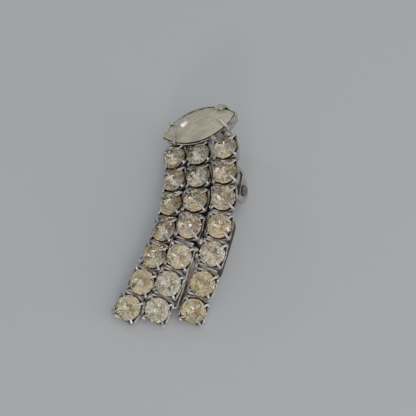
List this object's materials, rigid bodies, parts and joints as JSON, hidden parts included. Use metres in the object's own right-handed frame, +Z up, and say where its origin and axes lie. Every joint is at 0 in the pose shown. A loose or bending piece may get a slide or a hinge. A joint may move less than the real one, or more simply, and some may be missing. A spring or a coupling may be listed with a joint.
{
  "type": "clip on earring",
  "caption": "Rhinestone clip-on earring: a boat-shaped stone in a pronged setting over three curved strands of round stones, with a hinged clip behind.",
  "frame": {"origin": "on the surface that the earring lies on, under the middle of its bounding box", "axes": "+X to the wearer's left across the strands, +Y toward the end with the boat-shaped stone, +Z up out of the face"},
  "size_m": [0.0219, 0.0369, 0.0105],
  "materials": {
    "plated_setting": "old rhodium-coloured plating, bright on the edges, tarnished in the hollows",
    "plated_clip": "old bright plating, lightly rubbed",
    "pin_steel": "drawn wire, dulled",
    "spring_steel": "rolled spring strip, dulled",
    "foiled_crystal": "cut glass over aged foil, polished",
    "milky_crystal": "cut glass over clouded foil, polished"
  },
  "bodies": {
    "earring": {"setting_frame": "plated_setting", "navette_stone": "milky_crystal", "hinge_pin": "pin_steel", "clip_spring": "spring_steel", "stone_left_1": "foiled_crystal", "stone_left_2": "foiled_crystal", "stone_left_3": "foiled_crystal", "stone_left_4": "foiled_crystal", "stone_left_5": "foiled_crystal", "stone_left_6": "foiled_crystal", "stone_left_7": "foiled_crystal", "stone_middle_1": "foiled_crystal", "stone_middle_2": "foiled_crystal", "stone_middle_3": "foiled_crystal", "stone_middle_4": "foiled_crystal", "stone_middle_5": "foiled_crystal", "stone_middle_6": "foiled_crystal", "stone_middle_7": "foiled_crystal", "stone_right_1": "foiled_crystal", "stone_right_2": "foiled_crystal", "stone_right_3": "foiled_crystal", "stone_right_4": "foiled_crystal", "stone_right_5": "foiled_crystal", "stone_right_6": "foiled_crystal", "stone_right_7": "foiled_crystal"},
    "paddle": {"clip_paddle": "plated_clip"}
  },
  "joints": [
    {"name": "clip_hinge", "type": "hinge", "parent": "earring", "child": "paddle", "pos_m": [0.00673, 0.00448, 0.00337], "axis": [0.9131, -0.161, 0.3746], "range_deg": [0, 85], "stiffness_Nm_per_rad": 0.002, "springref_deg": -17.19}
  ]
}
